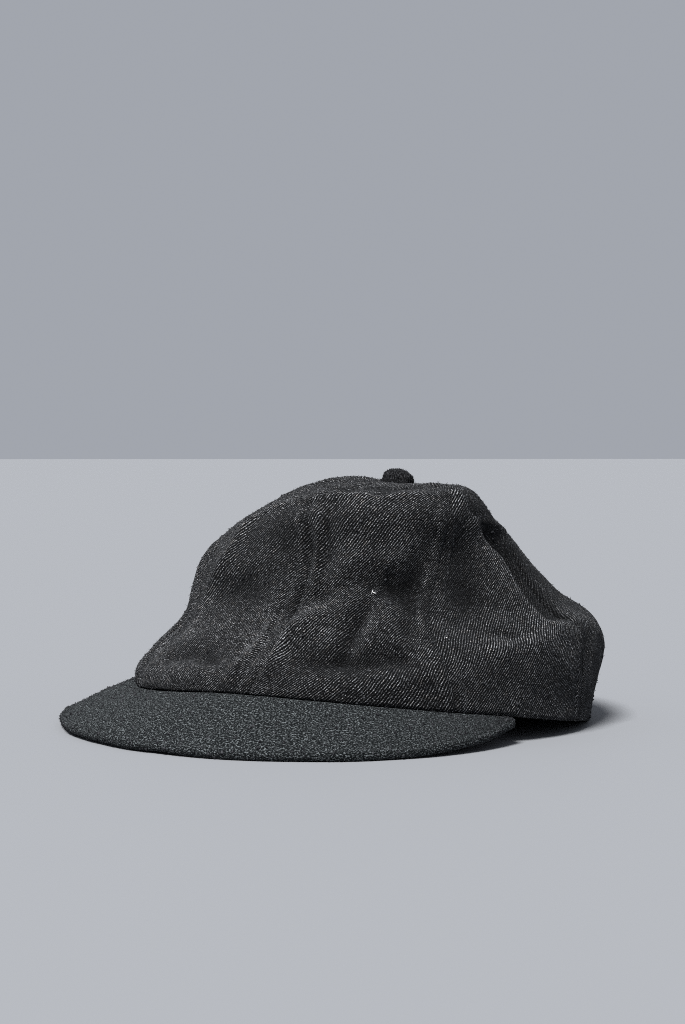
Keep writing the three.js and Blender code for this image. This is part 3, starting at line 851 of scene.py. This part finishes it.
def build_nap(name, points, normals, slot, material, random):
    """The brushed surface of a cloth: wisps, longer loose fibres and pills."""
    row = dict(zip(NAP_COLUMNS, NAP_ROWS[name]))
    roots, _, leaning = nap_roots(points, normals, row["wisps"], random)
    lengths = row["wisp_length"] * mostly_small(WISP_SPREAD, row["wisps"], random)
    parts = [tufts(roots, leaning, lengths, WISP_RADIUS)]
    roots, _, leaning = nap_roots(points, normals, row["fibres"], random)
    lengths = row["fibre_length"] * random.uniform(*FIBRE_LENGTHS, size=row["fibres"])
    bend = FIBRE_BEND * random.normal(size=(row["fibres"], 3))
    parts.append(fibres(roots, leaning, lengths, FIBRE_RADIUS, bend))
    roots, normal, _ = nap_roots(points, normals, row["pills"], random)
    sizes = row["pill_size"] * mostly_small(PILL_SPREAD, row["pills"], random)
    parts.append(pills(roots, normal, sizes, random))
    nap_points, faces = joined(parts)
    nap_points[:, 2] = np.maximum(nap_points[:, 2], NAP_CLEAR)
    place_piece(new_object(name, nap_points, faces, material), slot)


def capsule(start, end, normal, radius):
    """A closed stitch of thread from start to end, bowed out along the normal."""
    rings = []
    along = unit(end - start)
    side = np.cross(along, normal)
    for row in STITCH_ROWS:
        section = dict(zip(STITCH_COLUMNS, row))
        share = section["share"]
        bow = normal * radius * STITCH_BOW * math.sin(math.pi * share)
        centre = start + (end - start) * share + bow
        ring = []
        for step in range(STITCH_SIDES):
            turn = 2 * math.pi * step / STITCH_SIDES
            outward = side * math.cos(turn) + normal * math.sin(turn)
            ring.append(centre + outward * radius * section["size"])
        rings.append(ring)
    return np.array(rings)


def stitch_line(seam, first_side):
    """A row of stitches beside one seam of a panel, as points and the cloth's normals there."""
    level = np.linspace(*STITCH_LEVELS, STITCH_SAMPLES)
    width = panel_width(seam, level)
    share = STITCH_LINE / width
    if not first_side:
        share = 1 - share
    keep = width > SEAM_MIN_PANEL
    angle, place, lift, _, _ = panel_surface(seam, share[keep], level[keep])
    normal = crown_normal(angle, level[keep])
    return place + normal * (lift + STITCH_RADIUS * STITCH_LIFT)[:, None], normal


def stitches_along(line, normal):
    """The stitches of one row, each as points and faces."""
    stitch_ids = point_grid(len(STITCH_ROWS), STITCH_SIDES)
    faces = grid_faces(closed_rings(stitch_ids), flip=True).tolist()
    faces += [stitch_ids[0].tolist(), stitch_ids[-1][::-1].tolist()]
    travelled = path_lengths(line)
    parts = []
    for start in np.arange(0, travelled[-1] - STITCH_PITCH, STITCH_PITCH):
        ends = [
            np.array([np.interp(at, travelled, line[:, axis]) for axis in range(3)])
            for at in (start, start + STITCH_LENGTH)
        ]
        middle = np.searchsorted(travelled, start + STITCH_LENGTH / 2)
        parts.append((capsule(*ends, normal[middle], STITCH_RADIUS).reshape(-1, 3), faces))
    return parts


def build_stitches(material):
    parts = []
    for number in range(len(SEAMS)):
        for first_side in (True, False):
            parts += stitches_along(*stitch_line(number * PANEL_ANGLE, first_side))
    points, faces = joined(parts)
    place_piece(new_object("crown_stitches", points, faces, material), "crown_twill")


def build_lint(material):
    """Pale specks of lint where the photograph shows them."""
    rows = []
    for row in LINT_ROWS.values():
        speck = dict(zip(LINT_COLUMNS, row))
        angle = np.array([speck["angle"]], float)
        level = np.array([speck["level"]], float)
        place = smooth_crown(angle, level)
        normal = crown_normal(angle, level)
        around = unit(np.cross([0, 0, 1], normal))
        upward = np.cross(normal, around)
        lift = all_folds(place) + LINT_LIFT
        turn = math.radians(speck["turn"])
        direction = around * math.cos(turn) + upward * math.sin(turn)
        rows.append((place + normal * lift[:, None], direction, speck["length"]))
    roots = np.concatenate([row[0] for row in rows])
    directions = np.concatenate([row[1] for row in rows])
    lengths = np.array([row[2] for row in rows])
    bend = np.tile([LINT_BEND], (len(rows), 1))
    points, faces = fibres(roots, directions, lengths, LINT_RADIUS, bend)
    place_piece(new_object("lint", points, faces, material), "crown_twill")


class Nodes:
    """A material's node tree, with short calls to add and join nodes."""

    def __init__(self, name):
        self.material = bpy.data.materials.new(name)
        self.material.use_nodes = True
        self.tree = self.material.node_tree
        self.shader = self.tree.nodes["Principled BSDF"]

    def add(self, kind, **settings):
        node = self.tree.nodes.new(kind)
        for key, value in settings.items():
            setattr(node, key, value)
        return node

    def join(self, source, target):
        self.tree.links.new(source, target)

    def fill(self, socket, value):
        if isinstance(value, bpy.types.NodeSocket):
            self.join(value, socket)
        else:
            socket.default_value = value

    def math(self, operation, first, second=0.0, third=0.0):
        node = self.add("ShaderNodeMath", operation=operation)
        for socket, value in zip(node.inputs, (first, second, third)):
            self.fill(socket, value)
        return node.outputs[0]

    def noise(self, vector, scale, detail=2.0, roughness=0.5):
        node = self.add("ShaderNodeTexNoise")
        self.join(vector, node.inputs["Vector"])
        node.inputs["Scale"].default_value = scale
        node.inputs["Detail"].default_value = detail
        node.inputs["Roughness"].default_value = roughness
        return node.outputs["Fac"]

    def remap(self, value, low, high, to_low=0.0, to_high=1.0):
        node = self.add("ShaderNodeMapRange")
        self.fill(node.inputs["Value"], value)
        for key, number in zip(("From Min", "From Max", "To Min", "To Max"), (low, high, to_low, to_high)):
            node.inputs[key].default_value = number
        return node.outputs["Result"]

    def pattern(self, place, name, to_low=0.0, to_high=1.0):
        """One of the named noise patterns."""
        row = dict(zip(NOISE_COLUMNS, NOISE_ROWS[name]))
        value = self.noise(place, row["scale"], row["detail"], row["roughness"])
        return self.remap(value, row["low"], row["high"], to_low, to_high)

    def blend(self, factor, first, second):
        node = self.add("ShaderNodeMix", data_type="RGBA")
        self.fill(node.inputs["Factor"], factor)
        self.fill(node.inputs["A"], first)
        self.fill(node.inputs["B"], second)
        return node.outputs["Result"]

    def combine(self, x, y):
        node = self.add("ShaderNodeCombineXYZ")
        self.fill(node.inputs["X"], x)
        self.fill(node.inputs["Y"], y)
        return node.outputs["Vector"]

    def bump(self, height, distance, strength):
        node = self.add("ShaderNodeBump")
        self.fill(node.inputs["Height"], height)
        node.inputs["Distance"].default_value = distance
        node.inputs["Strength"].default_value = strength
        self.join(node.outputs["Normal"], self.shader.inputs["Normal"])

    def paint(self, colour):
        self.fill(self.shader.inputs["Base Color"], colour)


def cloth_surface(nodes, roughness, sheen):
    settings = {
        "Roughness": roughness,
        "Specular IOR Level": CLOTH_SPECULAR,
        "Sheen Weight": sheen,
        "Sheen Roughness": SHEEN_ROUGHNESS,
        "Sheen Tint": (*SHEEN_TINT, 1),
    }
    for key, value in settings.items():
        nodes.shader.inputs[key].default_value = value


def with_specks(nodes, cloth, place, name, strength):
    """Cloth with a dusting of pale fibre ends."""
    speck = nodes.pattern(place, name)
    return nodes.blend(nodes.math("MULTIPLY", speck, strength), cloth, (*FIBRE_PALE, 1))


def twill_material():
    """Brushed diagonal twill: raised lines, uneven yarn, painted shade in hollows and highlights on crests,
    and a dusting of pale fibre ends.
    """
    nodes = Nodes("crown_twill")
    cloth_surface(nodes, roughness=0.95, sheen=0.04)
    place = nodes.add("ShaderNodeUVMap", uv_map="cloth").outputs["UV"]
    split = nodes.add("ShaderNodeSeparateXYZ")
    nodes.join(place, split.inputs[0])
    u, v = split.outputs["X"], split.outputs["Y"]
    sine = math.sin(math.radians(TWILL_SLANT))
    cosine = math.cos(math.radians(TWILL_SLANT))
    along = nodes.math("MULTIPLY_ADD", u, cosine, nodes.math("MULTIPLY", v, sine))
    across = nodes.math("MULTIPLY_ADD", u, -sine, nodes.math("MULTIPLY", v, cosine))
    sway = nodes.math("MULTIPLY", nodes.noise(place, TWILL_SWAY_SCALE), TWILL_SWAY)
    turns = nodes.math("MULTIPLY", nodes.math("ADD", across, sway), 2 * math.pi / TWILL_PITCH)
    ridge = nodes.remap(nodes.math("SINE", turns), *TWILL_RIDGE)
    yarn_along = nodes.math("MULTIPLY", along, YARN_ALONG)
    yarn_across = nodes.math("MULTIPLY", across, YARN_ACROSS)
    yarn = nodes.pattern(nodes.combine(yarn_along, yarn_across), "twill_yarn")
    fuzz = nodes.pattern(place, "twill_fuzz")
    height = nodes.math("MULTIPLY_ADD", ridge, TWILL_RIDGE_BUMP, nodes.math("ADD", yarn, fuzz))
    nodes.bump(height, TWILL_BUMP * MM, BUMP_STRENGTH)
    clear = nodes.pattern(place, "twill_clear", *TWILL_CLEAR_TONE)
    yarn_tone = nodes.math("MULTIPLY_ADD", yarn, *TWILL_YARN_TONE)
    lines = nodes.math("MULTIPLY", nodes.math("MULTIPLY", ridge, clear), yarn_tone)
    grain = nodes.math("MULTIPLY_ADD", fuzz, *TWILL_FUZZ_TONE)
    tone = nodes.math("POWER", nodes.math("MULTIPLY", lines, grain), TWILL_CONTRAST)
    # Painted shading: the tone goes down in hollows, grooves and painted shade, and up on crests and
    # painted highlights
    relief = nodes.add("ShaderNodeAttribute", attribute_name="relief").outputs["Fac"]
    tone = nodes.math("MULTIPLY", tone, nodes.remap(relief, *TWILL_PAINTED_SHADING, *TWILL_PAINTED_SHADING_TONE))
    light = nodes.blend(nodes.pattern(place, "twill_warm"), (*TWILL_LIGHT, 1), (*TWILL_WARM, 1))
    cloth = nodes.blend(tone, (*TWILL_DARK, 1), light)
    nodes.paint(with_specks(nodes, cloth, place, "twill_speck", TWILL_SPECKS))
    return nodes.material


def felt_material(name, dark, light):
    """Brushed, felted cloth with no clear weave."""
    nodes = Nodes(name)
    cloth_surface(nodes, roughness=0.93, sheen=0.02)
    place = nodes.add("ShaderNodeUVMap", uv_map="cloth").outputs["UV"]
    coarse = nodes.pattern(place, "felt_coarse")
    fine = nodes.pattern(place, "felt_fine")
    nodes.bump(nodes.math("MULTIPLY_ADD", coarse, FELT_COARSE_BUMP, fine), FELT_BUMP * MM, BUMP_STRENGTH)
    tone = nodes.math("MULTIPLY", nodes.math("MULTIPLY_ADD", coarse, *FELT_COARSE_TONE), fine)
    tone = nodes.math("POWER", tone, FELT_CONTRAST)
    cloth = nodes.blend(tone, (*dark, 1), (*light, 1))
    nodes.paint(with_specks(nodes, cloth, place, "felt_speck", FELT_SPECKS))
    return nodes.material


def fibre_material(name, dark, light):
    """Thin fibres or thread that vary from one to the next."""
    nodes = Nodes(name)
    cloth_surface(nodes, roughness=0.8, sheen=0.03)
    place = nodes.add("ShaderNodeTexCoord").outputs["Object"]
    nodes.paint(nodes.blend(nodes.pattern(place, "fibre"), (*dark, 1), (*light, 1)))
    return nodes.material


def floor_material():
    """Plain pale paint."""
    nodes = Nodes("floor_paint")
    nodes.shader.inputs["Roughness"].default_value = FLOOR_ROUGHNESS
    nodes.shader.inputs["Specular IOR Level"].default_value = FLOOR_SPECULAR
    nodes.paint((*FLOOR_PALE, 1))
    return nodes.material


def build_floor():
    mesh = bpy.data.meshes.new("floor")
    corners = [(x * FLOOR_SIZE, y * FLOOR_SIZE, 0) for x, y in ((-1, -1), (1, -1), (1, 1), (-1, 1))]
    mesh.from_pydata(corners, [], [(0, 1, 2, 3)])
    mesh.materials.append(floor_material())
    floor = bpy.data.objects.new("floor", mesh)
    bpy.context.scene.collection.objects.link(floor)


def image_axes():
    """The photograph's right and its direction away from the camera, level with the ground."""
    azimuth = math.radians(CAMERA_AZIMUTH)
    right = Vector((math.cos(azimuth), math.sin(azimuth), 0))
    away = Vector((-math.sin(azimuth), math.cos(azimuth), 0))
    return right, away


def build_camera():
    right, away = image_axes()
    yaw = math.atan((CAMERA_AIM_X - PHOTO_WIDTH / 2) / CAMERA_FOCAL_PX)
    pitch = math.atan((PHOTO_HEIGHT / 2 - CAMERA_HORIZON_Y) / CAMERA_FOCAL_PX)
    level = away * math.cos(yaw) - right * math.sin(yaw)
    forward = level * math.cos(pitch) - Vector((0, 0, math.sin(pitch)))
    data = bpy.data.cameras.new("camera")
    data.sensor_width = SENSOR
    data.lens = CAMERA_FOCAL_PX * SENSOR / PHOTO_HEIGHT
    camera = bpy.data.objects.new("camera", data)
    place = Vector((0, CROWN_Y, CAMERA_HEIGHT)) - away * CAMERA_DISTANCE
    turn = forward.to_track_quat("-Z", "Y").to_matrix().to_4x4()
    camera.matrix_world = Matrix.Translation(place * MM) @ turn
    bpy.context.scene.collection.objects.link(camera)
    bpy.context.scene.camera = camera


def build_key():
    """A soft sun, placed by how far right, near and up it is as the camera sees it."""
    right, away = image_axes()
    direction = (right * KEY_RIGHT - away * KEY_NEAR + Vector((0, 0, KEY_UP))).normalized()
    data = bpy.data.lights.new("key", "SUN")
    data.angle = math.radians(KEY_ANGLE)
    data.energy = KEY_POWER
    data.color = KEY_COLOUR
    light = bpy.data.objects.new("key", data)
    light.matrix_world = direction.to_track_quat("Z", "Y").to_matrix().to_4x4()
    bpy.context.scene.collection.objects.link(light)


def build_world():
    world = bpy.data.worlds.new("studio")
    world.use_nodes = True
    background = world.node_tree.nodes["Background"]
    background.inputs["Color"].default_value = (*WORLD_COLOUR, 1)
    background.inputs["Strength"].default_value = WORLD_STRENGTH
    bpy.context.scene.world = world


def main():
    random = np.random.default_rng(SEED)
    twill = twill_material()
    felt = felt_material("peak_cloth", FELT_DARK, FELT_LIGHT)
    button_felt = felt_material("button_cloth", BUTTON_DARK, BUTTON_LIGHT)
    fibre = fibre_material("loose_fibre", FIBRE_DARK, FIBRE_LIGHT)
    thread = fibre_material("thread", TWILL_DARK, THREAD_LIGHT)
    lint = fibre_material("lint", FIBRE_PALE, LINT_WHITE)
    crown = [build_panel(number, twill, random) for number in range(len(SEAMS))]
    crown_points = np.concatenate([points for points, _ in crown])
    crown_normals = np.concatenate([normals for _, normals in crown])
    peak_points, peak_normals = build_peak(felt, random)
    button_points, button_normals = build_button(button_felt, random)
    build_nap("crown_nap", crown_points, crown_normals, "crown_twill", fibre, random)
    build_nap("peak_nap", peak_points, peak_normals, "peak_cloth", fibre, random)
    build_nap("button_nap", button_points, button_normals, "button_cloth", fibre, random)
    build_stitches(thread)
    build_lint(lint)
    build_floor()
    build_camera()
    build_key()
    build_world()
    bpy.context.scene.view_settings.view_transform = "Standard"
    bpy.context.scene.cycles.use_denoising = False
    bpy.context.scene.cycles.filter_width = PIXEL_FILTER


main()
